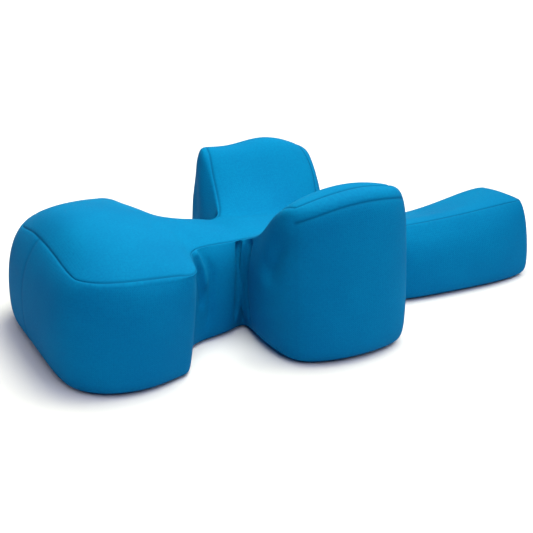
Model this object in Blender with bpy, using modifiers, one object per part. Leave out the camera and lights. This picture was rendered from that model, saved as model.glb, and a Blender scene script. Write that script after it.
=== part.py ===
"""A cross-shaped support cushion, filled and sewn from a top panel, a side band and a bottom panel.

Metres, +Z up. The origin is on the floor under the middle of the cushion's box. X runs along the
cushion, from the big lobe at -X over the waist and the saddle to the end of the tail at +X. Y runs
across, from the front wing at -Y to the back wing at +Y.

The cage is a cross of cells: a row of sections along X, each with points across it, and more
points outward and upward from the saddle's sections for the wings. The cross is laid out as the
top panel, its edge is repeated as the rings of the side band, and it is laid out again as the
bottom panel, flat on the floor. Subdivision rounds it, and creased edges hold the seams.
"""

import bpy
import numpy as np

NAME = "cushion_body"
COLLECTION = "support_cushion"

# Body sections along X, one row each: place, x, y of the front seam, y of the back seam,
# height of the front seam, of the back seam and of the crown between them, bulge of the sides.
SECTIONS = (
    ("lobe end", -0.284, -0.094, 0.090, 0.118, 0.114, 0.123, 0.014),
    ("lobe outer", -0.257, -0.123, 0.120, 0.119, 0.115, 0.147, 0.011),
    ("lobe middle", -0.210, -0.130, 0.128, 0.119, 0.117, 0.153, 0.007),
    ("lobe inner", -0.158, -0.130, 0.128, 0.118, 0.116, 0.136, 0.002),
    ("neck", -0.143, -0.059, 0.056, 0.115, 0.113, 0.125, 0.006),
    ("waist", -0.104, -0.048, 0.045, 0.111, 0.109, 0.114, 0.008),
    ("wing, lobe side", -0.066, -0.032, 0.030, 0.105, 0.104, 0.106, 0.003),
    ("saddle, lobe side", -0.022, -0.040, 0.038, 0.103, 0.102, 0.100, 0.006),
    ("saddle, tail side", 0.028, -0.042, 0.040, 0.101, 0.094, 0.095, 0.006),
    ("wing, tail side", 0.076, -0.046, 0.043, 0.096, 0.073, 0.084, 0.006),
    ("tail root", 0.124, -0.050, 0.044, 0.091, 0.065, 0.078, 0.016),
    ("tail middle", 0.190, -0.051, 0.044, 0.091, 0.069, 0.081, 0.017),
    ("tail outer", 0.262, -0.052, 0.045, 0.094, 0.079, 0.088, 0.018),
    ("tail end", 0.299, -0.050, 0.043, 0.095, 0.085, 0.090, 0.016),
)
WING_FIRST = 6
WING_LAST = 9
# Share of the crown's rise that each point across a section has, from the front seam to the back.
ACROSS = ((0.0, 0.0), (0.25, 0.75), (0.5, 1.0), (0.75, 0.75), (1.0, 0.0))

# Rows of the wings' upper side, from the saddle outward: row, side, step outward,
# x at the lobe side and at the tail side, y, height at the lobe side, between and at the tail side.
WING_ROWS = (
    ("front ramp", -1, 1, -0.066, 0.076, -0.078, 0.122, 0.128, 0.122),
    ("front crest", -1, 2, -0.064, 0.073, -0.116, 0.168, 0.188, 0.173),
    ("front edge", -1, 3, -0.065, 0.073, -0.154, 0.178, 0.182, 0.167),
    ("back ramp", 1, 1, -0.058, 0.086, 0.074, 0.118, 0.122, 0.112),
    ("back crest", 1, 2, -0.048, 0.089, 0.110, 0.162, 0.169, 0.154),
    ("back edge", 1, 3, -0.050, 0.089, 0.138, 0.152, 0.158, 0.142),
)
WING_BULGE = 0.009

# Rings of the side band and the bottom panel's rim, below the top seam:
# ring, share of the seam's height, share of the bulge, inset from the outline.
RINGS = (
    ("upper side", 0.72, 0.65, 0.000),
    ("lower side", 0.36, 1.00, 0.000),
    ("bottom seam", 0.07, 1.00, 0.000),
    ("floor rim", 0.00, 0.50, 0.006),
)
# The side band is drawn in at the cross's inner corners by this share of its outward offsets.
INNER_CORNER = -0.3
INNER_CORNER_TURN = -0.5
# The middle of the finished cushion's box in the tables' x and y, which goes over the origin.
MIDDLE = (0.0085, -0.0080)
SEAM_CREASE = 0.40
BOTTOM_SEAM_CREASE = 0.15
LEVELS = 2

BLUE = "#0079B6"
ROUGHNESS = 0.85


def linear(colour):
    """The linear value of an sRGB hex colour."""
    channels = np.array([int(colour[i : i + 2], 16) / 255 for i in (1, 3, 5)])
    low = channels / 12.92
    high = ((channels + 0.055) / 1.055) ** 2.4
    return np.where(channels <= 0.04045, low, high)


def cross_points():
    """The top panel: {(column, row): (x, y, z)} and {(column, row): bulge of the side there}.

    Rows -2 to 2 cross the body, and those past them climb the wings.
    """
    points = {}
    bulges = {}
    for column, (_, x, front, back, front_z, back_z, crown_z, bulge) in enumerate(SECTIONS):
        for row, (share, rise) in enumerate(ACROSS, start=-2):
            seam_z = front_z + share * (back_z - front_z)
            z = seam_z + rise * (crown_z - (front_z + back_z) / 2)
            points[column, row] = (x, front + share * (back - front), z)
            bulges[column, row] = bulge
    for _, side, step, first_x, last_x, y, first_z, middle_z, last_z in WING_ROWS:
        for column in range(WING_FIRST, WING_LAST + 1):
            share = (column - WING_FIRST) / (WING_LAST - WING_FIRST)
            z = {WING_FIRST: first_z, WING_LAST: last_z}.get(column, middle_z)
            place = (column, side * (2 + step))
            points[place] = (first_x + share * (last_x - first_x), y, z)
            bulges[place] = WING_BULGE
    return points, bulges


def cross_cells(points):
    """The cross's cells, each as four grid places, anticlockwise from above."""
    corners = ((0, 0), (1, 0), (1, 1), (0, 1))
    cells = []
    for column, row in points:
        cell = [(column + i, row + j) for i, j in corners]
        if all(place in points for place in cell):
            cells.append(cell)
    return cells


def outline_of(cells):
    """The places along the cross's edge, in order, anticlockwise from above."""
    edges = {(cell[i], cell[(i + 1) % 4]) for cell in cells for i in range(4)}
    following = {a: b for a, b in edges if (b, a) not in edges}
    place = min(following)
    outline = []
    while place not in outline:
        outline.append(place)
        place = following[place]
    return outline


def outward(points, outline, i):
    """The level direction out of the edge at its place i, short and reversed at an inner corner."""
    before = np.array(points[outline[i - 1]][:2])
    here = np.array(points[outline[i]][:2])
    after = np.array(points[outline[(i + 1) % len(outline)]][:2])
    arriving = (here - before) / np.linalg.norm(here - before)
    leaving = (after - here) / np.linalg.norm(after - here)
    turn = arriving[0] * leaving[1] - arriving[1] * leaving[0]
    along = arriving + leaving
    normal = np.array([along[1], -along[0]]) / np.linalg.norm(along)
    return normal * (1.0 if turn > INNER_CORNER_TURN else INNER_CORNER)


def cushion_cage():
    """Points, faces and creased edges of the closed cage."""
    top, bulges = cross_points()
    cells = cross_cells(top)
    outline = outline_of(cells)
    count = len(outline)
    verts = []
    index = {}
    for place, point in top.items():
        index["top", place] = len(verts)
        verts.append(point)
    directions = [outward(top, outline, i) for i in range(count)]
    for ring, (_, share, swell, inset) in enumerate(RINGS):
        for place, direction in zip(outline, directions):
            x, y, z = top[place]
            offset = (swell * bulges[place] - inset) * direction
            index[ring, place] = len(verts)
            verts.append((x + offset[0], y + offset[1], z * share))
    rim = len(RINGS) - 1
    for place, (x, y, _) in top.items():
        if (rim, place) not in index:
            index[rim, place] = len(verts)
            verts.append((x, y, 0.0))
    faces = [[index["top", place] for place in cell] for cell in cells]
    faces += [[index[rim, place] for place in reversed(cell)] for cell in cells]
    seams = {}
    levels = ["top", *range(len(RINGS))]
    for i, a in enumerate(outline):
        b = outline[(i + 1) % count]
        for upper, lower in zip(levels, levels[1:]):
            faces.append([index[upper, b], index[upper, a], index[lower, a], index[lower, b]])
        seams[frozenset((index["top", a], index["top", b]))] = SEAM_CREASE
        seams[frozenset((index[rim - 1, a], index[rim - 1, b]))] = BOTTOM_SEAM_CREASE
    verts = [(x - MIDDLE[0], y - MIDDLE[1], z) for x, y, z in verts]
    return verts, faces, seams


def knit_material():
    """The plain blue knit of the whole cover."""
    material = bpy.data.materials.new("blue_knit")
    material.use_nodes = True
    shader = material.node_tree.nodes["Principled BSDF"]
    shader.inputs["Base Color"].default_value = (*linear(BLUE), 1.0)
    shader.inputs["Roughness"].default_value = ROUGHNESS
    shader.inputs["Metallic"].default_value = 0.0
    return material


def build_cushion(collection):
    """The one filled solid."""
    verts, faces, seams = cushion_cage()
    mesh = bpy.data.meshes.new(NAME)
    mesh.from_pydata(verts, [], faces)
    crease = mesh.attributes.new("crease_edge", "FLOAT", "EDGE")
    for edge in mesh.edges:
        crease.data[edge.index].value = seams.get(frozenset(edge.vertices), 0.0)
    mesh.shade_smooth()
    mesh.materials.append(knit_material())
    cushion = bpy.data.objects.new(NAME, mesh)
    collection.objects.link(cushion)
    rounding = cushion.modifiers.new("Rounding", "SUBSURF")
    rounding.levels = LEVELS
    rounding.render_levels = LEVELS
    return cushion


def main():
    for old in list(bpy.data.objects):
        bpy.data.objects.remove(old)
    collection = bpy.data.collections.new(COLLECTION)
    bpy.context.scene.collection.children.link(collection)
    build_cushion(collection)


main()
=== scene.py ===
"""A filled, cross-shaped support cushion in a blue knit cover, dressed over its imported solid.

Metres, +Z up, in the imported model's own frame. The cover is one closed surface: a cross-shaped
top panel, side bands and a bottom panel. It is laid out as a coarse cage of grid places, rounded
by subdivision, swelled as cloth under the filling's pressure, sewn in along its seams and folded
where the fabric bunches at the inner corners.
"""

import math

import bpy
import numpy as np
from mathutils import Matrix


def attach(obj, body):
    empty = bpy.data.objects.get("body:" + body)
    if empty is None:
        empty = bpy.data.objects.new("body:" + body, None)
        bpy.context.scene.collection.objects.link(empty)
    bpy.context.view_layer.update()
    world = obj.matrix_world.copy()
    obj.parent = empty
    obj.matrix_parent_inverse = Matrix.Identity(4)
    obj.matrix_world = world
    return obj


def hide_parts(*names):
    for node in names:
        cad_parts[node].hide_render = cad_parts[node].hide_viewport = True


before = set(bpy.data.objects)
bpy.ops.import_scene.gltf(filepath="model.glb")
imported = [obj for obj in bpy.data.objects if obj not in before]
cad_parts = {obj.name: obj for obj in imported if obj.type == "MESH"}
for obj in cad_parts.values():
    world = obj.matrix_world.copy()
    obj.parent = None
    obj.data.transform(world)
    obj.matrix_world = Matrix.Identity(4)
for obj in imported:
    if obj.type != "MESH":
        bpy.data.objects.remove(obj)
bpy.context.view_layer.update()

bl_info = {
    "name": "Cross-shaped support cushion",
    "version": (1, 0, 0),
    "blender": (4, 5, 0),
    "location": "View3D > Sidebar > Cushion",
    "description": "Makes a filled, cross-shaped support cushion in a knit cover",
    "category": "Object",
}

# Body sections along X: x, y of the front seam, y of the back seam, height of the front seam,
# of the back seam and of the crown, bulge of the sides, share across of the middle row, and how
# much further out the foot stands.
SECTIONS = np.array(
    (
        (-0.278, -0.092, 0.088, 0.115, 0.111, 0.124, 0.021, 0.62, 0.001),
        (-0.253, -0.122, 0.119, 0.118, 0.115, 0.148, 0.012, 0.56, 0.004),
        (-0.210, -0.130, 0.128, 0.119, 0.117, 0.147, 0.009, 0.50, 0.001),
        (-0.176, -0.131, 0.129, 0.118, 0.117, 0.137, 0.004, 0.50, -0.012),
        (-0.153, -0.130, 0.127, 0.118, 0.116, 0.130, 0.002, 0.50, -0.015),
        (-0.147, -0.059, 0.057, 0.115, 0.113, 0.125, 0.006, 0.50, 0.003),
        (-0.104, -0.048, 0.045, 0.111, 0.109, 0.114, 0.008, 0.50, 0.000),
        (-0.083, -0.042, 0.040, 0.108, 0.107, 0.110, 0.006, 0.50, 0.000),
        (-0.064, -0.032, 0.030, 0.105, 0.104, 0.106, 0.003, 0.50, 0.000),
        (-0.020, -0.040, 0.038, 0.103, 0.102, 0.100, 0.006, 0.50, 0.000),
        (0.028, -0.042, 0.040, 0.101, 0.094, 0.095, 0.006, 0.50, 0.000),
        (0.074, -0.046, 0.043, 0.096, 0.073, 0.084, 0.006, 0.50, 0.000),
        (0.128, -0.050, 0.044, 0.091, 0.063, 0.076, 0.016, 0.50, 0.006),
        (0.200, -0.051, 0.044, 0.091, 0.061, 0.075, 0.017, 0.50, 0.008),
        (0.268, -0.052, 0.043, 0.094, 0.077, 0.089, 0.018, 0.50, 0.008),
        (0.298, -0.052, 0.034, 0.095, 0.087, 0.096, 0.008, 0.50, 0.007),
    )
)
# Share of the crown's rise at the five rows across a section, from the front seam to the back.
CROWN_SHARE = np.array((0.0, 0.75, 1.0, 0.75, 0.0))

# Rows that climb the wings, from the front edge to the back edge: row, x at the lobe side and at
# the tail side, y, and the height at each of the wing's four columns from the lobe side on.
WING_ROWS = np.array(
    (
        (-5, -0.064, 0.062, -0.138, 0.170, 0.176, 0.183, 0.174),
        (-4, -0.067, 0.068, -0.112, 0.164, 0.183, 0.184, 0.173),
        (-3, -0.067, 0.075, -0.078, 0.122, 0.128, 0.128, 0.124),
        (3, -0.051, 0.088, 0.074, 0.118, 0.120, 0.122, 0.108),
        (4, -0.049, 0.088, 0.106, 0.167, 0.159, 0.170, 0.149),
        (5, -0.048, 0.087, 0.126, 0.164, 0.157, 0.167, 0.142),
    )
)
WING_COLUMNS = (8, 11)
# How far the wings' sides bulge, front and back.
WING_BULGE = (0.006, 0.013)
# The strip sewn over each wing's outer edge: how far it reaches outward, front and back, and at
# each of the wing's four columns the share of that and how far its lower seam lies under the top
# seam, front and back.
STRIP_REACH = (0.018, 0.016)
REACH_SHARE = np.array((0.35, 1.15, 1.20, 0.50))
STRIP_DROP = np.array(((0.014, 0.000, 0.003, 0.005), (0.006, 0.005, 0.006, 0.006)))
# How far the outer corners of each wing are drawn along X below the top seam.
CORNER_DRAW = np.array((0.002, -0.004, 0.006, 0.015))

# Rings of the side band: share of the seam's height, share of the bulge, share of the strip's
# reach, share of the foot, inset from the outline.
RINGS = np.array(
    (
        (0.960, 0.35, 0.90, 0.0, 0.000),
        (0.700, 0.95, 1.10, 0.3, 0.000),
        (0.080, 0.95, 1.45, 1.0, 0.000),
        (0.000, 0.55, 1.20, 0.8, 0.004),
    )
)
STRIP_RING = 0
BOTTOM_SEAM_RING = 3
# The cross's corners, anticlockwise from above, as grid column and row.
CORNERS = (
    (0, -2), (8, -2), (8, -5), (11, -5), (11, -2), (15, -2),
    (15, 2), (11, 2), (11, 5), (8, 5), (8, 2), (0, 2),
)
LOWEST_ROW = -5
ROW_COUNT = 11
# The side band is drawn in at the cross's inner corners by this share of its outward offsets.
INNER_CORNER = -0.3
INNER_CORNER_TURN = -0.5
# The middle of the cushion's box in the tables' x and y, which goes over the origin.
MIDDLE = np.array((0.0085, -0.0080, 0.0))
TOP_SEAM_CREASE = 0.40
NECK_SEAM_CREASE = 0.75
STRIP_SEAM_CREASE = 0.10
UPRIGHT_SEAM_CREASE = 0.0
BOTTOM_SEAM_CREASE = 0.15
TAIL_CORNER_CREASE = 0.35
CAGE_LEVELS = 3

# Swelling: the cover starts this much smaller, and no point moves further than the cap.
START_INSET = 0.0005
MOVE_CAP = 0.0040
CLOTH_FRAMES = 20
EVEN_ROUNDS = 14

# Folds where the side band bunches at the inner corners: rise in mm (under nought for a valley),
# half width in mm, share of the course over which it deepens, and the course down the cover as
# x, y, z in mm.
FOLDS = (
    (4.0, 4.5, 0.1, ((-143, -55, 112), (-138, -53, 98), (-134, -52, 84), (-130, -50, 62))),
    (-3.0, 4.0, 0.4, ((-141, -55, 96), (-138, -53, 74), (-136, -53, 40))),
    (-3.0, 4.5, 0.4, ((-128, -46, 105), (-122, -48, 82), (-124, -50, 50), (-129, -49, 12))),
    (-7.5, 2.8, 0.1, ((-80, -29, 106), (-84, -34, 82), (-88, -40, 53), (-92, -41, 10))),
    (3.5, 2.6, 0.1, ((-76, -31, 105), (-79, -33, 82), (-81, -35, 50), (-78, -38, 10))),
    (-9.0, 3.2, 0.1, ((-74, -43, 107), (-78, -45, 85), (-79, -44, 56), (-80, -50, 28), (-79, -56, 8))),
    (-6.0, 14.0, 0.5, ((-70, -118, 150), (-73, -118, 130), (-78, -106, 110), (-82, -92, 76))),
)
COURSE_STEPS = 12
# The back's folds mirror the front's in this y, in mm, and run this much shallower.
BACK_MIRROR = 13.0
BACK_SHARE = 0.5

# Photograph's camera: lens for a 36 mm sensor, place over the origin, pitch and turn.
LENS = 81.05
CAMERA_PLACE = (-0.5932, -1.1100, 0.5733)
CAMERA_PITCH = 22.7
CAMERA_TURN = 26.8


def linear(colour):
    """The linear value of an sRGB hex colour."""
    channels = np.array([int(colour[i : i + 2], 16) / 255 for i in (1, 3, 5)])
    low = channels / 12.92
    high = ((channels + 0.055) / 1.055) ** 2.4
    return tuple(float(value) for value in np.where(channels <= 0.04045, low, high))


def add_node(tree, kind, settings=None, **links):
    """Adds a node, sets its properties and sockets, and links sockets to other nodes' outputs."""
    node = tree.nodes.new(kind)
    for name, value in (settings or {}).items():
        if isinstance(name, str) and hasattr(node, name):
            setattr(node, name, value)
        else:
            node.inputs[name].default_value = value
    for name, source in links.items():
        key = int(name[1:]) if name[1:].isdigit() else name.replace("_", " ")
        tree.links.new(source, node.inputs[key])
    return node


def top_panel():
    """T(column, row), the top panel's places; those outside the cross are not numbers.

    Across a section y runs straight between the seams, and z is the straight line between the
    seams' heights plus the crown's rise times that row's share. The wings' rows run straight in x.
    """
    x, front, back, front_z, back_z, crown_z, _, middle, _ = SECTIONS.T[..., None]
    across = np.broadcast_to(np.array((0.0, 0.25, 0.5, 0.75, 1.0)), (len(SECTIONS), 5)).copy()
    across[:, 2:3] = middle
    across[:, 1:2] = middle / 2
    across[:, 3:4] = (1 + middle) / 2
    grid = np.full((len(SECTIONS), ROW_COUNT, 3), np.nan)
    body = slice(-2 - LOWEST_ROW, 3 - LOWEST_ROW)
    grid[:, body, 0] = x
    grid[:, body, 1] = front + across * (back - front)
    rise = CROWN_SHARE * (crown_z - (front_z + back_z) / 2)
    grid[:, body, 2] = front_z + across * (back_z - front_z) + rise
    first, last = WING_COLUMNS
    share = np.linspace(0, 1, last - first + 1)[:, None]
    row, x_first, x_last, y = WING_ROWS.T[:4]
    climb = row.astype(int) - LOWEST_ROW
    grid[first : last + 1, climb, 0] = x_first + share * (x_last - x_first)
    grid[first : last + 1, climb, 1] = y
    grid[first : last + 1, climb, 2] = WING_ROWS.T[4:]
    return grid


def outline_places():
    """The grid places along the cross's edge, in order, as columns and rows counted from 0."""
    ends = np.array(CORNERS)
    legs = []
    for start, end in zip(ends, np.roll(ends, -1, axis=0)):
        steps = np.abs(end - start).max()
        share = np.arange(steps)[:, None] / steps
        legs.append(start + share * (end - start))
    places = np.rint(np.concatenate(legs)).astype(int)
    return places[:, 0], places[:, 1] - LOWEST_ROW


def outward(edge):
    """Level unit vectors out of the edge, short and reversed at its inner corners."""
    flat = edge[:, :2]
    step = np.roll(flat, -1, axis=0) - flat
    leaving = step / np.linalg.norm(step, axis=1, keepdims=True)
    arriving = np.roll(leaving, 1, axis=0)
    turn = arriving[:, 0] * leaving[:, 1] - arriving[:, 1] * leaving[:, 0]
    along = arriving + leaving
    normal = np.stack((along[:, 1], -along[:, 0], np.zeros(len(along))), axis=1)
    normal /= np.linalg.norm(normal, axis=1, keepdims=True)
    return normal * np.where(turn > INNER_CORNER_TURN, 1.0, INNER_CORNER)[:, None]


def side_band(grid, columns, rows):
    """B(ring, place) = the outline's place, moved out by the ring's shares of bulge and strip.

    The height of each ring is its share of the top seam's height.
    """
    edge = grid[columns, rows]
    signed = rows + LOWEST_ROW
    bulge = np.where(signed < -2, WING_BULGE[0], np.where(signed > 2, WING_BULGE[1], SECTIONS[columns, 6]))
    foot = np.where(np.abs(signed) > 2, 0.0, SECTIONS[columns, 8])
    reach = np.where(signed == -5, -STRIP_REACH[0], np.where(signed == 5, STRIP_REACH[1], 0.0))
    out = outward(edge)
    height, swell, strip, stand, inset = RINGS.T[:, :, None]
    offset = (swell * bulge + stand * foot - inset)[..., None] * out
    climbing = np.abs(signed) == 5
    column = np.where(climbing, columns - WING_COLUMNS[0], 0)
    offset[..., 1] += strip * reach * REACH_SHARE[column]
    offset[..., 0] += np.minimum(strip, 1) * np.where(climbing, CORNER_DRAW[column], 0)
    band = edge + offset
    band[..., 2] = height * edge[:, 2]
    drop = STRIP_DROP[(signed > 0).astype(int), column]
    band[STRIP_RING, climbing, 2] = (edge[:, 2] - drop)[climbing]
    return band


def sheet_faces(index):
    """Quads between neighbours of a grid of indices, leaving out those with a place under 0."""
    quads = np.stack((index[:-1, :-1], index[1:, :-1], index[1:, 1:], index[:-1, 1:]), axis=-1)
    quads = quads.reshape(-1, 4)
    return quads[(quads >= 0).all(axis=1)]


def cushion_cage():
    """Points, quads, corner coordinates on the cloth, and seams as (edges, crease, depth)."""
    grid = top_panel()
    inside = ~np.isnan(grid[..., 0])
    top_index = np.where(inside, np.cumsum(inside).reshape(inside.shape) - 1, -1)
    columns, rows = outline_places()
    band = side_band(grid, columns, rows)
    top_count = inside.sum()
    around = len(columns)
    ring_index = top_count + np.arange(len(RINGS) * around).reshape(len(RINGS), around)
    within = inside.copy()
    within[columns, rows] = False
    floor_index = np.where(within, 0, -1)
    floor_index[within] = top_count + ring_index.size + np.arange(within.sum())
    floor_index[columns, rows] = ring_index[-1]
    floor = grid[within] * (1, 1, 0)
    points = np.concatenate((grid[inside], band.reshape(-1, 3), floor)) - MIDDLE
    top_quads = sheet_faces(top_index)
    floor_quads = sheet_faces(floor_index)[:, ::-1]
    levels = np.vstack((top_index[columns, rows], ring_index))
    after = np.roll(levels, -1, axis=1)
    band_quads = np.stack((after[:-1], levels[:-1], levels[1:], after[1:]), axis=-1)
    quads = np.concatenate((top_quads, floor_quads, band_quads.reshape(-1, 4)))

    # Cloth coordinates in metres: the top panel's V is the length climbed across it, the band's U
    # runs round the cushion, and the panels are set apart by a metre each.
    climb = np.linalg.norm(np.diff(np.nan_to_num(grid[..., 1:]), axis=1), axis=-1)
    across = np.concatenate((np.zeros((len(grid), 1)), np.cumsum(climb, axis=1)), axis=1)
    across -= across[:, [-LOWEST_ROW]]
    cloth = np.zeros((len(points), 2))
    cloth[:top_count] = np.stack((grid[..., 0][inside], across[inside]), axis=1)
    floor_cloth = points[:, :2] + (0.0, 2.0)
    edge = band[2]
    lengths = np.linalg.norm(np.roll(edge, -1, axis=0) - edge, axis=1)
    start = np.concatenate(((0.0,), np.cumsum(lengths)))
    heights = np.vstack((grid[columns, rows][None], band))[..., 2]
    u_pair = np.stack((start[1:], start[:-1], start[:-1], start[1:]), axis=-1)
    v_after = np.roll(heights, -1, axis=1)
    v_pair = np.stack((v_after[:-1], heights[:-1], heights[1:], v_after[1:]), axis=-1)
    band_cloth = np.stack((np.broadcast_to(u_pair, v_pair.shape), v_pair + 1.0), axis=-1)
    corners = np.concatenate(
        (cloth[top_quads], floor_cloth[floor_quads], band_cloth.reshape(-1, 4, 2))
    )

    first, last = WING_COLUMNS
    signed = rows + LOWEST_ROW
    tip = np.abs(signed) == 5
    tip_leg = tip & np.roll(tip, -1)
    tip_corner = tip & ((columns == first) | (columns == last))
    at_corner = tip_corner | np.roll(tip_corner, -1)
    neck = (columns > 2) & (columns < 7)
    at_neck = neck & np.roll(neck, -1)
    end_join = (columns == 0) & (signed == 0)
    tail_corner = (columns == len(SECTIONS) - 1) & (np.abs(signed) == 2)
    strip, bottom = STRIP_RING + 1, BOTTOM_SEAM_RING + 1
    upright = np.stack((levels[:-1], levels[1:]), axis=-1)
    seams = (
        (np.stack((levels[0], after[0]), axis=-1), TOP_SEAM_CREASE, 1.0),
        (np.stack((levels[0], after[0]), axis=-1)[at_corner], STRIP_SEAM_CREASE, 1.0),
        (np.stack((levels[0], after[0]), axis=-1)[at_neck], NECK_SEAM_CREASE, 1.0),
        (np.stack((levels[bottom], after[bottom]), axis=-1), BOTTOM_SEAM_CREASE, 0.5),
        (np.stack((levels[strip], after[strip]), axis=-1)[tip_leg], STRIP_SEAM_CREASE, 0.9),
        (upright[strip:bottom][:, tip_corner].reshape(-1, 2), UPRIGHT_SEAM_CREASE, 0.12),
        (upright[:bottom][:, end_join].reshape(-1, 2), UPRIGHT_SEAM_CREASE, 0.5),
        (upright[:, tail_corner].reshape(-1, 2), TAIL_CORNER_CREASE, 0.0),
    )
    return points, quads, corners, seams


def values_of(collection, name, width, kind=np.float32):
    """An attribute of a mesh's elements as an array."""
    values = np.empty(len(collection) * width, kind)
    collection.foreach_get(name, values)
    return values.reshape(-1, width) if width > 1 else values


def baked(cushion):
    """Puts the evaluated mesh in the place of the cushion's own, and leaves no modifier on it."""
    graph = bpy.context.evaluated_depsgraph_get()
    mesh = bpy.data.meshes.new_from_object(cushion.evaluated_get(graph))
    old = cushion.data
    cushion.modifiers.clear()
    cushion.data = mesh
    bpy.data.meshes.remove(old)
    mesh.name = cushion.name
    return mesh


def subdivide(cushion, levels):
    modifier = cushion.modifiers.new("Rounding", "SUBSURF")
    modifier.levels = levels
    modifier.render_levels = levels
    return baked(cushion)


def positions(mesh):
    return values_of(mesh.vertices, "co", 3).astype(float)


def place(mesh, points):
    mesh.vertices.foreach_set("co", points.astype(np.float32).ravel())
    mesh.update()


def normals(mesh):
    return values_of(mesh.vertices, "normal", 3).astype(float)


def seam_depths(mesh, pairs):
    """Each point's share of a full seam's depth: the greatest of its edges' shares."""
    sewn = np.empty(len(mesh.edges), np.float32)
    mesh.attributes["sewn"].data.foreach_get("value", sewn)
    depth = np.zeros(len(mesh.vertices))
    for end in (0, 1):
        np.maximum.at(depth, pairs[:, end], sewn)
    return depth, sewn


def evened(mesh, values, rounds):
    """Each point's value, the mean of its neighbours' taken in turn for a number of rounds."""
    pairs = values_of(mesh.edges, "vertices", 2, np.int32)
    count = np.bincount(pairs.ravel(), minlength=len(values))[:, None]
    for _ in range(rounds):
        total = np.zeros_like(values)
        for axis in range(3):
            for a, b in ((0, 1), (1, 0)):
                total[:, axis] += np.bincount(pairs[:, a], values[pairs[:, b], axis], len(values))
        values = total / count
    return values


def swell(cushion, settings):
    """Blows the cover up as cloth under an even inside pressure, its floor panel held.

    How far each point has moved is capped, and then evened out over its neighbours.
    """
    mesh = cushion.data
    start = positions(mesh)
    held = start[:, 2] < 0.004
    inset = start - normals(mesh) * START_INSET
    place(mesh, np.where(held[:, None], start, inset))
    group = cushion.vertex_groups.new(name="held")
    group.add(np.flatnonzero(held).tolist(), 1.0, "REPLACE")
    modifier = cushion.modifiers.new("Swelling", "CLOTH")
    cloth = modifier.settings
    cloth.quality = 5
    cloth.mass = 0.25
    cloth.tension_stiffness = 9
    cloth.compression_stiffness = 9
    cloth.shear_stiffness = 4
    cloth.bending_stiffness = 1.0
    cloth.use_pressure = True
    cloth.uniform_pressure_force = settings.pressure
    cloth.vertex_group_mass = "held"
    cloth.effector_weights.gravity = 0.0
    modifier.collision_settings.use_collision = False
    modifier.point_cache.frame_start = 1
    modifier.point_cache.frame_end = CLOTH_FRAMES
    scene = bpy.context.scene
    for number in range(1, CLOTH_FRAMES + 1):
        scene.frame_set(number)
    mesh = baked(cushion)
    scene.frame_set(1)
    cushion.vertex_groups.clear()
    moved = positions(mesh) - start
    length = np.linalg.norm(moved, axis=1, keepdims=True)
    capped = moved * np.minimum(1.0, MOVE_CAP / np.maximum(length, 1e-9))
    print("swelled by", np.round(np.percentile(length, (5, 50, 95, 100)) * 1000, 2), "mm")
    place(mesh, start + np.where(held[:, None], 0.0, evened(mesh, capped, EVEN_ROUNDS)))


def sew(cushion, settings):
    """Draws the rows beside each seam in close and sinks the seam between them."""
    mesh = cushion.data
    points = positions(mesh)
    pairs = values_of(mesh.edges, "vertices", 2, np.int32)
    depth, sewn = seam_depths(mesh, pairs)
    on_seam = depth > 0
    for a, b in ((0, 1), (1, 0)):
        beside = pairs[on_seam[pairs[:, a]] & ~on_seam[pairs[:, b]]]
        seam_point = points[beside[:, a]]
        away = points[beside[:, b]] - seam_point
        length = np.linalg.norm(away, axis=1, keepdims=True)
        near = np.minimum(1, settings.seam_width / length)
        firm = depth[beside[:, a]][:, None]
        points[beside[:, b]] = seam_point + away * (near * firm + 1 - firm)
    level = points[:, 2] < 0.001
    sink = normals(mesh) * settings.seam_depth * depth[:, None]
    points[~level] -= sink[~level]
    place(mesh, points)
    crease = (0.7 * sewn).astype(np.float32)
    mesh.attributes["crease_edge"].data.foreach_set("value", crease)
    # Each point's share of a full seam's depth, which the cover's material uses to paint shade into the
    # seams.
    groove = mesh.attributes.new("groove", "FLOAT", "POINT")
    groove.data.foreach_set("value", depth.astype(np.float32))
    return subdivide(cushion, 1)


def along_course(points, course):
    """Each point's distance from a course of straight legs, and how far along it that lies, 0 to 1."""
    legs = np.diff(course, axis=0)
    lengths = np.linalg.norm(legs, axis=1)
    reached = np.concatenate(((0.0,), np.cumsum(lengths)))
    nearest = np.full(len(points), np.inf)
    share = np.zeros(len(points))
    for start, leg, length, before in zip(course, legs, lengths, reached):
        t = np.clip((points - start) @ leg / length**2, 0, 1)
        distance = np.linalg.norm(points - start - t[:, None] * leg, axis=1)
        closer = distance < nearest
        nearest[closer] = distance[closer]
        share[closer] = (before + t[closer] * length) / reached[-1]
    return nearest, share


def laid_on(points, course):
    """The course in even steps, each laid on the nearest of the cover's points and then evened."""
    given = np.linspace(0, 1, len(course))
    steps = np.linspace(0, 1, COURSE_STEPS)
    even = np.stack([np.interp(steps, given, course[:, axis]) for axis in range(3)], axis=1)
    away = np.linalg.norm(points[:, None] - even, axis=2)
    laid = points[away.argmin(axis=0)]
    laid[1:-1] = (laid[:-2] + laid[1:-1] + laid[2:]) / 3
    return laid


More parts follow.
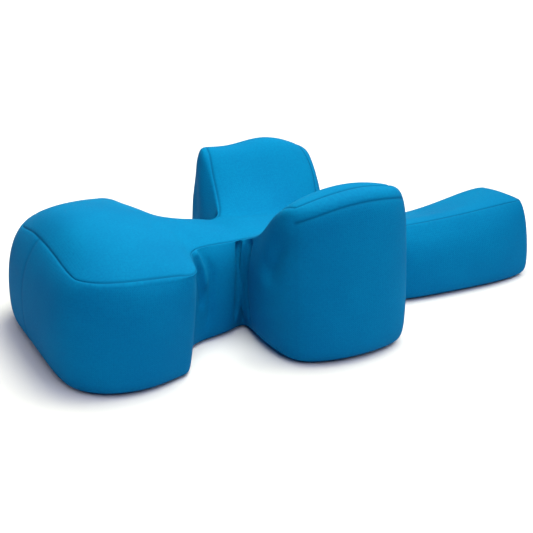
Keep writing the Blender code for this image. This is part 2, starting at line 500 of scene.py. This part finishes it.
def fold(cushion):
    """Moves points along their normals: rise x exp(-(distance / half width) squared) x fade.

    The distance is from the fold's course, laid on the cover. The fade rises over the given share
    of the course and falls over its last quarter, both as a smooth step.
    """
    mesh = cushion.data
    points = positions(mesh)
    outward_of = normals(mesh)
    on_side = np.clip(1.4 - 1.4 * np.abs(outward_of[:, 2]), 0, 1)
    moved = np.zeros(len(points))
    for rise, half_width, deepening, course in FOLDS:
        course = np.array(course, float)
        mirrored = course * (1, -1, 1) + (0, BACK_MIRROR, 0)
        for path, strength in ((course, 1.0), (mirrored, BACK_SHARE)):
            distance, share = along_course(points * 1000, laid_on(points * 1000, path))
            fade = np.clip((share + 0.03) / deepening, 0, 1) * np.clip((1 - share) / 0.25, 0, 1)
            fade = fade**2 * (3 - 2 * fade)
            shape = np.exp(-((distance / half_width) ** 2))
            moved += rise / 1000 * strength * shape * fade
    place(mesh, points + outward_of * (moved * on_side)[:, None])


def knit_cover(settings):
    """Polyester knit, circular-knitted, dyed and brushed: matt, with a soft pale sheen at the rims."""
    material = bpy.data.materials.new("blue_polyester_knit")
    material.use_nodes = True
    tree = material.node_tree
    shader = tree.nodes["Principled BSDF"]
    shader.inputs["Roughness"].default_value = 0.82
    shader.inputs["Metallic"].default_value = 0.0
    shader.inputs["IOR"].default_value = 1.5
    shader.inputs["Specular IOR Level"].default_value = 0.03
    shader.inputs["Sheen Weight"].default_value = settings.sheen
    shader.inputs["Sheen Roughness"].default_value = 0.3
    shader.inputs["Sheen Tint"].default_value = (*linear("#7CC6EE"), 1.0)
    cloth = add_node(tree, "ShaderNodeUVMap", {"uv_map": "cloth"})
    scaled = add_node(
        tree,
        "ShaderNodeMapping",
        {"Scale": (1 / settings.knit_pitch, 1 / settings.knit_pitch, 1)},
        Vector=cloth.outputs["UV"],
    )
    parts = add_node(tree, "ShaderNodeSeparateXYZ", Vector=scaled.outputs["Vector"])
    wale = add_node(tree, "ShaderNodeMath", {"operation": "PINGPONG", 1: 0.5}, _0=parts.outputs["X"])
    lean = add_node(
        tree,
        "ShaderNodeMath",
        {"operation": "MULTIPLY_ADD", 1: 1.2},
        _0=wale.outputs[0],
        _2=parts.outputs["Y"],
    )
    turn = add_node(tree, "ShaderNodeMath", {"operation": "MULTIPLY", 1: math.tau}, _0=lean.outputs[0])
    stitch = add_node(tree, "ShaderNodeMath", {"operation": "SINE"}, _0=turn.outputs[0])
    relief = add_node(
        tree,
        "ShaderNodeMath",
        {"operation": "MULTIPLY_ADD", 1: 0.5},
        _0=stitch.outputs[0],
        _2=wale.outputs[0],
    )
    fuzz = add_node(
        tree,
        "ShaderNodeTexNoise",
        {"Scale": 900.0, "Detail": 3.0},
        Vector=cloth.outputs["UV"],
    )
    rough = add_node(
        tree,
        "ShaderNodeMath",
        {"operation": "MULTIPLY_ADD", 1: 0.8},
        _0=fuzz.outputs[0],
        _2=relief.outputs[0],
    )
    bump = add_node(
        tree,
        "ShaderNodeBump",
        {"Strength": 0.18, "Distance": 0.0006},
        Height=rough.outputs[0],
    )
    place_in_metres = add_node(tree, "ShaderNodeTexCoord")
    cloudy = add_node(
        tree,
        "ShaderNodeTexNoise",
        {"Scale": 14.0, "Detail": 4.0, "Roughness": 0.55},
        Vector=place_in_metres.outputs["Object"],
    )
    heather = add_node(
        tree,
        "ShaderNodeTexNoise",
        {"Scale": 420.0, "Detail": 2.0},
        Vector=cloth.outputs["UV"],
    )
    mottled = add_node(
        tree,
        "ShaderNodeMath",
        {"operation": "ADD"},
        _0=cloudy.outputs[0],
        _1=heather.outputs[0],
    )
    shade = add_node(
        tree,
        "ShaderNodeMapRange",
        {"From Min": 0.75, "From Max": 1.25, "To Min": 0.0, "To Max": 1.0},
        Value=mottled.outputs[0],
    )
    dyed = add_node(
        tree,
        "ShaderNodeMix",
        {
            "data_type": "RGBA",
            6: (*settings.cover_dark, 1.0),
            7: (*settings.cover_colour, 1.0),
        },
        Factor=shade.outputs[0],
    )
    # Painted shade: the base colour is mixed towards dark navy #00325C by each point's share of a full
    # seam's depth, standing in for the shade down in the seam grooves.
    groove = add_node(tree, "ShaderNodeAttribute", {"attribute_name": "groove"})
    painted_seam_shade = add_node(
        tree,
        "ShaderNodeMath",
        {"operation": "MULTIPLY", 1: 0.55, "use_clamp": True},
        _0=groove.outputs["Fac"],
    )
    sewn = add_node(
        tree,
        "ShaderNodeMix",
        {"data_type": "RGBA", 7: (*linear("#00325C"), 1.0)},
        Factor=painted_seam_shade.outputs[0],
        _6=dyed.outputs[2],
    )
    tree.links.new(sewn.outputs[2], shader.inputs["Base Color"])
    tree.links.new(bump.outputs[0], shader.inputs["Normal"])
    return material


class CushionSettings(bpy.types.PropertyGroup):
    """Sizes and colours of the cushion."""

    cover_colour: bpy.props.FloatVectorProperty(
        name="Cover colour",
        description="Colour of the dyed knit",
        subtype="COLOR",
        min=0.0,
        max=1.0,
        default=linear("#006AA0"),
    )
    cover_dark: bpy.props.FloatVectorProperty(
        name="Cover shade",
        description="The knit's darker shade, where the dye took deeper",
        subtype="COLOR",
        min=0.0,
        max=1.0,
        default=linear("#006097"),
    )
    sheen: bpy.props.FloatProperty(
        name="Sheen", description="Strength of the brushed knit's sheen", default=0.03, min=0, max=1
    )
    knit_pitch: bpy.props.FloatProperty(
        name="Knit pitch",
        description="Width of one drawn row of stitches",
        default=0.0024,
        unit="LENGTH",
    )
    pressure: bpy.props.FloatProperty(
        name="Filling pressure", description="Inside pressure of the filling", default=12.0, min=0
    )
    seam_width: bpy.props.FloatProperty(
        name="Seam width",
        description="Distance from a seam to the row of cloth beside it",
        default=0.0015,
        unit="LENGTH",
    )
    seam_depth: bpy.props.FloatProperty(
        name="Seam depth", description="How deep a seam sinks", default=0.0012, unit="LENGTH"
    )


class StageSettings(bpy.types.PropertyGroup):
    """Floor and lights."""

    floor_colour: bpy.props.FloatVectorProperty(
        name="Floor colour",
        description="Colour of the paper floor",
        subtype="COLOR",
        min=0.0,
        max=1.0,
        default=linear("#DADAE6"),
    )
    floor_side: bpy.props.FloatProperty(
        name="Floor side", description="Length of the floor's side", default=9.0, unit="LENGTH"
    )
    overhead: bpy.props.FloatProperty(
        name="Overhead light", description="Power of the overhead light", default=7.0, unit="POWER"
    )
    side: bpy.props.FloatProperty(
        name="Side light", description="Power of the light at the left", default=2.5, unit="POWER"
    )
    front: bpy.props.FloatProperty(
        name="Front light", description="Strength of the broad light from the front", default=1.85, min=0
    )
    right: bpy.props.FloatProperty(
        name="Right light", description="Strength of the broad light from the right", default=2.6, min=0
    )
    far_floor: bpy.props.FloatProperty(
        name="Far floor light", description="Power of the light on the far floor", default=90.0,
        unit="POWER",
    )
    surround: bpy.props.FloatProperty(
        name="Surround", description="Strength of the pale surround", default=0.04, min=0
    )


class MakeCushion(bpy.types.Operator):
    """Make the filled cushion in its sewn knit cover."""

    bl_idname = "support_cushion.make_cushion"
    bl_label = "Make the cushion"

    def execute(self, context):
        settings = context.scene.cushion_settings
        points, quads, corners, seams = cushion_cage()
        mesh = bpy.data.meshes.new("filled_cushion")
        mesh.from_pydata(points.tolist(), [], quads.tolist())
        uv = mesh.uv_layers.new(name="cloth")
        uv.data.foreach_set("uv", corners.astype(np.float32).ravel())
        pairs = np.sort(values_of(mesh.edges, "vertices", 2, np.int32), axis=1)
        keys = pairs[:, 0].astype(np.int64) * len(points) + pairs[:, 1]
        crease = np.zeros(len(pairs), np.float32)
        sewn = np.zeros(len(pairs), np.float32)
        for edges, amount, depth in seams:
            edges = np.sort(edges, axis=1)
            wanted = edges[:, 0].astype(np.int64) * len(points) + edges[:, 1]
            crease[np.isin(keys, wanted)] = amount
            sewn[np.isin(keys, wanted)] = depth
        mesh.attributes.new("crease_edge", "FLOAT", "EDGE").data.foreach_set("value", crease)
        mesh.attributes.new("sewn", "FLOAT", "EDGE").data.foreach_set("value", sewn)
        if mesh.validate():
            raise RuntimeError("the cage has bad faces")
        cushion = bpy.data.objects.new("filled_cushion", mesh)
        context.scene.collection.objects.link(cushion)
        mesh.shade_smooth()
        subdivide(cushion, CAGE_LEVELS)
        swell(cushion, settings)
        sew(cushion, settings)
        fold(cushion)
        cushion.data.shade_smooth()
        cushion.data.materials.clear()
        cushion.data.materials.append(knit_cover(settings))
        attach(cushion, "root")
        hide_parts("cushion_body")
        return {"FINISHED"}


class MakeStage(bpy.types.Operator):
    """Set the floor, the lights and the camera."""

    bl_idname = "support_cushion.make_stage"
    bl_label = "Make the stage"

    def execute(self, context):
        settings = context.scene.stage_settings
        half = settings.floor_side / 2
        side = np.linspace(-half, half, 9)
        x, y = np.meshgrid(side, side, indexing="ij")
        points = np.stack((x, y, np.full_like(x, -0.0003)), axis=-1).reshape(-1, 3)
        mesh = bpy.data.meshes.new("paper_floor")
        index = np.arange(points.shape[0]).reshape(x.shape)
        mesh.from_pydata(points.tolist(), [], sheet_faces(index).tolist())
        floor = bpy.data.objects.new("paper_floor", mesh)
        context.scene.collection.objects.link(floor)
        material = bpy.data.materials.new("white_background_paper")
        material.use_nodes = True
        tree = material.node_tree
        shader = tree.nodes["Principled BSDF"]
        shader.inputs["Roughness"].default_value = 0.9
        coordinates = add_node(tree, "ShaderNodeTexCoord")
        noise = add_node(
            tree, "ShaderNodeTexNoise", {"Scale": 3.0}, Vector=coordinates.outputs["Object"]
        )
        tone = add_node(
            tree,
            "ShaderNodeMix",
            {
                "data_type": "RGBA",
                6: (*settings.floor_colour, 1.0),
                7: (*linear("#D7D7E3"), 1.0),
            },
            Factor=noise.outputs[0],
        )
        tree.links.new(tone.outputs[2], shader.inputs["Base Color"])
        mesh.materials.append(material)

        def light(name, place, size, power, colour="#FFFFFF"):
            data = bpy.data.lights.new(name, "AREA")
            data.shape = "RECTANGLE"
            data.size, data.size_y = size
            data.energy = power
            data.color = linear(colour)
            lamp = bpy.data.objects.new(name, data)
            context.scene.collection.objects.link(lamp)
            place = np.array(place)
            back = place / np.linalg.norm(place)
            right = np.cross((0.0, 1.0, 0.001), back)
            right /= np.linalg.norm(right)
            up = np.cross(back, right)
            turn = np.eye(4)
            turn[:3, 0], turn[:3, 1], turn[:3, 2], turn[:3, 3] = right, up, back, place
            lamp.matrix_world = Matrix(turn.tolist())
            return lamp

        light("overhead_softbox", (0.0, 0.0, 0.8), (0.5, 0.5), settings.overhead, "#FFFFDC")
        light("left_softbox", (-1.5, 0.3, 0.8), (0.9, 0.9), settings.side)
        far = light("far_floor_light", (1.6, 3.4, 1.8), (5.0, 3.0), settings.far_floor)
        far.matrix_world = Matrix.Translation((1.6, 3.4, 1.8))
        for name, strength, colour, tilt, turn in (
            ("front_light", settings.front, "#FFFFFF", 35, 0),
            ("right_light", settings.right, "#FFFFE2", 0, 35),
        ):
            sun = bpy.data.lights.new(name, "SUN")
            sun.energy = strength
            sun.angle = math.radians(50)
            sun.color = linear(colour)
            lamp = bpy.data.objects.new(name, sun)
            lamp.rotation_euler = (math.radians(tilt), math.radians(turn), 0)
            context.scene.collection.objects.link(lamp)
        world = bpy.data.worlds.new("pale_surround")
        context.scene.world = world
        world.use_nodes = True
        background = world.node_tree.nodes["Background"]
        background.inputs["Color"].default_value = (*linear("#FFFFFF"), 1.0)
        background.inputs["Strength"].default_value = settings.surround
        context.scene.view_settings.view_transform = "Standard"

        data = bpy.data.cameras.new("photo_camera")
        data.lens = LENS
        data.sensor_width = 36.0
        camera = bpy.data.objects.new("photo_camera", data)
        camera.location = CAMERA_PLACE
        camera.rotation_euler = (
            math.radians(90 - CAMERA_PITCH),
            0.0,
            math.radians(-CAMERA_TURN),
        )
        context.scene.collection.objects.link(camera)
        context.scene.camera = camera
        return {"FINISHED"}


class CushionPanel(bpy.types.Panel):
    """Lists the pieces and the stage."""

    bl_idname = "VIEW3D_PT_support_cushion"
    bl_label = "Support cushion"
    bl_space_type = "VIEW_3D"
    bl_region_type = "UI"
    bl_category = "Cushion"

    def draw(self, context):
        for settings, operator in (
            (context.scene.cushion_settings, MakeCushion),
            (context.scene.stage_settings, MakeStage),
        ):
            box = self.layout.box()
            for name in settings.bl_rna.properties.keys():
                if name not in ("rna_type", "name"):
                    box.prop(settings, name)
            box.operator(operator.bl_idname)


CLASSES = (CushionSettings, StageSettings, MakeCushion, MakeStage, CushionPanel)


def register():
    for item in CLASSES:
        bpy.utils.register_class(item)
    bpy.types.Scene.cushion_settings = bpy.props.PointerProperty(type=CushionSettings)
    bpy.types.Scene.stage_settings = bpy.props.PointerProperty(type=StageSettings)


def unregister():
    del bpy.types.Scene.stage_settings
    del bpy.types.Scene.cushion_settings
    for item in reversed(CLASSES):
        bpy.utils.unregister_class(item)


def main():
    register()
    bpy.ops.support_cushion.make_cushion()
    bpy.ops.support_cushion.make_stage()


if __name__ == "__main__":
    main()
